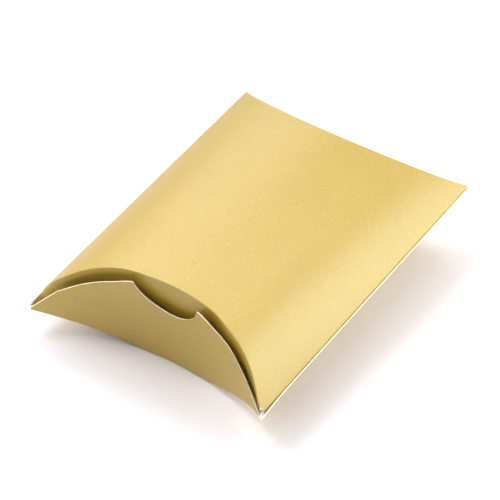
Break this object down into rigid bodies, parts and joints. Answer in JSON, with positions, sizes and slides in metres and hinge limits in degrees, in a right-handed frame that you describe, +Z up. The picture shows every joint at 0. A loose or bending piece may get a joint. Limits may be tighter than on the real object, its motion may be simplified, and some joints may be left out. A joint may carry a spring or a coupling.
{
  "type": "favor box",
  "caption": "Pillow-shaped folding card favor box with arched panels, curved-crease end flaps and a thumb notch, used to wrap a small gift or sweets.",
  "frame": {"origin": "centre of the bounding box in X and Y, on the table under the bottom panel's flattened crown", "axes": "X across the box from the side fold to the glued seam, Y along it from the near end to the far end, Z up"},
  "size_m": [0.0648, 0.092, 0.025],
  "materials": {
    "gold_card": "pearlescent gold face, white inside and cut edges",
    "glue": "dried white glue"
  },
  "bodies": {
    "sleeve": {"top_panel": "gold_card", "bottom_panel": "gold_card", "side_fold": "gold_card", "seam_fold": "gold_card", "glue_tab": "gold_card", "glue_line": "glue"},
    "near_outer": {"near_outer_flap": "gold_card"},
    "near_inner": {"near_inner_flap": "gold_card"},
    "far_outer": {"far_outer_flap": "gold_card"},
    "far_inner": {"far_inner_flap": "gold_card"}
  },
  "joints": [
    {"name": "near_outer_crease", "type": "hinge", "parent": "sleeve", "child": "near_outer", "pos_m": [0, -0.0335, 0], "axis": [1, 0, 0], "range_deg": [0, 85]},
    {"name": "near_inner_crease", "type": "hinge", "parent": "sleeve", "child": "near_inner", "pos_m": [0, -0.0347, 0.025], "axis": [-1, 0, 0], "range_deg": [0, 68]},
    {"name": "far_outer_crease", "type": "hinge", "parent": "sleeve", "child": "far_outer", "pos_m": [0, 0.0335, 0.025], "axis": [1, 0, 0], "range_deg": [0, 85]},
    {"name": "far_inner_crease", "type": "hinge", "parent": "sleeve", "child": "far_inner", "pos_m": [0, 0.0347, 0], "axis": [-1, 0, 0], "range_deg": [0, 68]}
  ],
  "couplings": [
    {"joint": "near_inner_crease", "follows": "near_outer_crease", "ratio": 0.8},
    {"joint": "far_inner_crease", "follows": "far_outer_crease", "ratio": 0.8}
  ]
}
